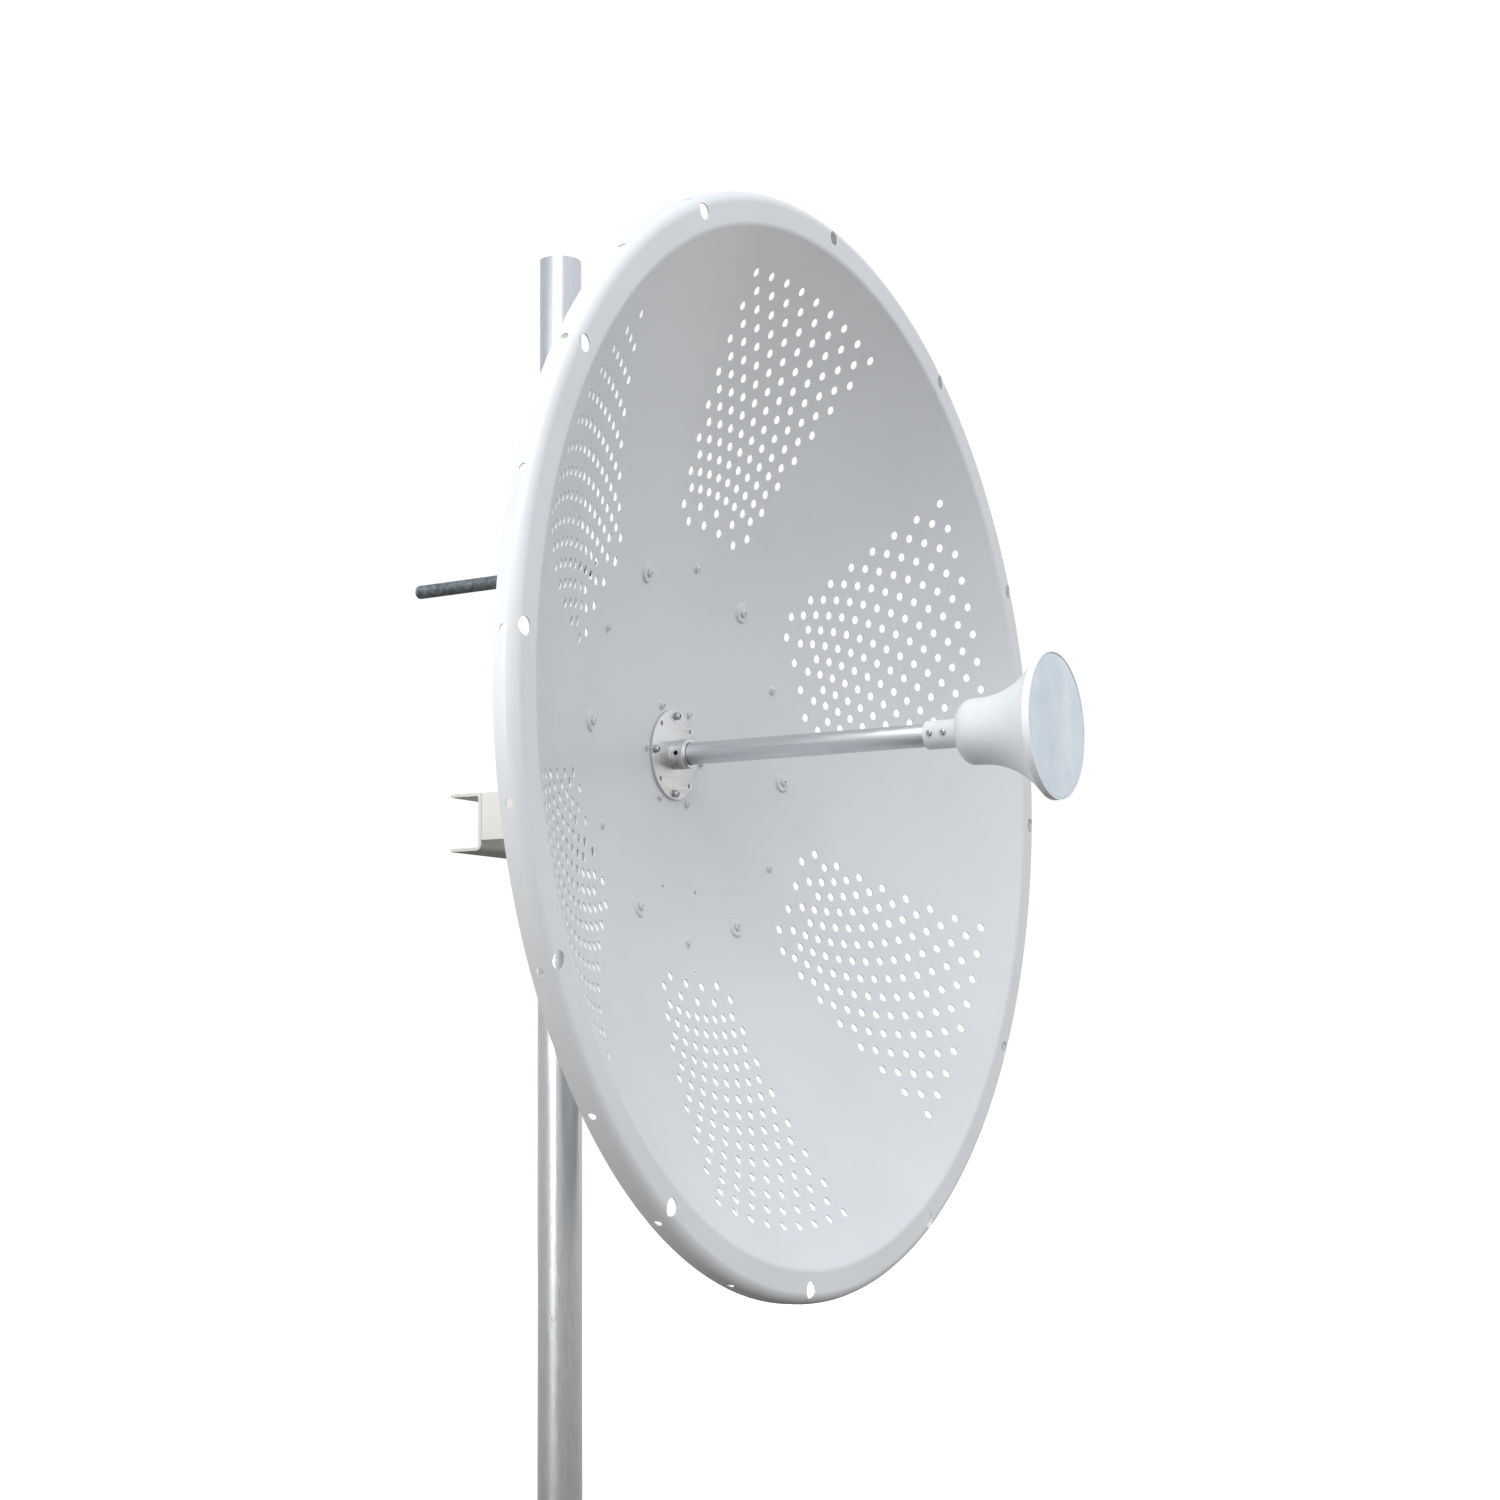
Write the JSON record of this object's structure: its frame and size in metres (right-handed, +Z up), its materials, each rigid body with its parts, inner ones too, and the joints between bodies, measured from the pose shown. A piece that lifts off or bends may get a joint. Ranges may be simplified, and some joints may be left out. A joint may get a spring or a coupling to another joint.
{
  "type": "satellite dish",
  "caption": "Perforated parabolic dish with a prime-focus horn feed on a boom, tilting and turning on a pipe mast by clamps and a threaded elevation rod.",
  "frame": {"origin": "centre of the mast's bottom end", "axes": "+Z up along the mast, -Y along the boresight, X across the dish"},
  "size_m": [1.203, 0.7868, 1.5015],
  "materials": {
    "dish_paint": "pale grey powder coat, satin",
    "bracket_paint": "cream powder coat, satin",
    "galvanised": "hot-dip galvanised, semi-bright",
    "rod_steel": "dull zinc, threaded",
    "stainless": "bright stainless",
    "satin_aluminium": "satin anodised",
    "white_plastic": "white moulded, satin",
    "cover_plastic": "pale blue-grey, glossy",
    "black_oxide": "black oxide",
    "board_copper": "etched copper on board",
    "plated_brass": "nickel-plated, turned",
    "line_jacket": "tan fluoropolymer jacket"
  },
  "bodies": {
    "mast": {"mast_pipe": "galvanised"},
    "carriage": {"rear_channel": "bracket_paint", "cheek_left": "bracket_paint", "cheek_right": "bracket_paint", "upper_clamp_plate": "bracket_paint", "lower_u_bolt": "galvanised", "lower_u_bolt_nut_left": "galvanised", "lower_u_bolt_nut_right": "galvanised", "upper_u_bolt": "galvanised", "upper_u_bolt_nut_left": "galvanised", "upper_u_bolt_nut_right": "galvanised", "pivot_bolt_left": "stainless", "pivot_bolt_right": "stainless", "pivot_nut_left": "stainless", "pivot_nut_right": "stainless"},
    "dish": {"reflector": "dish_paint", "back_ring": "bracket_paint", "hub_plate": "bracket_paint", "back_spine": "bracket_paint", "pivot_yoke": "bracket_paint", "frame_screw_large_1": "dish_paint", "frame_screw_large_2": "dish_paint", "frame_screw_large_3": "dish_paint", "frame_screw_large_4": "dish_paint", "frame_screw_large_5": "dish_paint", "frame_screw_large_6": "dish_paint", "frame_screw_small_1": "dish_paint", "frame_screw_small_2": "dish_paint", "frame_screw_small_3": "dish_paint", "frame_screw_small_4": "dish_paint", "frame_screw_small_5": "dish_paint", "frame_screw_small_6": "dish_paint", "hub_screw_1": "dish_paint", "hub_screw_2": "dish_paint", "hub_screw_3": "dish_paint", "hub_screw_4": "dish_paint", "hub_screw_5": "dish_paint", "hub_screw_6": "dish_paint", "feed_flange": "satin_aluminium", "flange_screw_1": "stainless", "flange_screw_2": "stainless", "flange_screw_3": "stainless", "flange_screw_4": "stainless", "hub_grub_screw": "black_oxide", "rod_pivot_bolt": "stainless", "rod_pivot_nut": "stainless"},
    "rod": {"elevation_rod": "rod_steel"},
    "rod_nuts": {"rod_nut_front": "rod_steel", "rod_nut_rear": "rod_steel"},
    "feed": {"boom_tube": "satin_aluminium", "feed_horn": "white_plastic", "feed_cover": "cover_plastic", "collar_screw_1": "stainless", "collar_screw_2": "stainless", "radiator_cross": "board_copper", "coax_line_h": "line_jacket", "coax_line_v": "line_jacket", "connector_plate": "satin_aluminium", "connector_h": "plated_brass", "connector_v": "plated_brass"}
  },
  "joints": [
    {"name": "azimuth", "type": "hinge", "parent": "mast", "child": "carriage", "pos_m": [0, 0, 0.9], "axis": [0, 0, 1], "range_deg": [-180, 180]},
    {"name": "elevation", "type": "hinge", "parent": "carriage", "child": "dish", "pos_m": [0, -0.076, 0.83], "axis": [-1, 0, 0], "range_deg": [-15, 15]},
    {"name": "rod_swivel", "type": "hinge", "parent": "dish", "child": "rod", "pos_m": [-0.047, -0.116, 1.1145], "axis": [-1, 0, 0], "range_deg": [-15, 15]},
    {"name": "rod_nut_travel", "type": "slide", "parent": "rod", "child": "rod_nuts", "axis": [0, 0.9999, -0.0131], "range_m": [-0.074, 0.074]},
    {"name": "polarisation", "type": "hinge", "parent": "dish", "child": "feed", "pos_m": [0, -0.151, 0.9], "axis": [0, -1, 0], "range_deg": [-90, 90]}
  ],
  "couplings": [
    {"joint": "rod_swivel", "follows": "elevation", "ratio": -1},
    {"joint": "rod_nut_travel", "follows": "elevation", "m_per_rad": -0.2785}
  ]
}
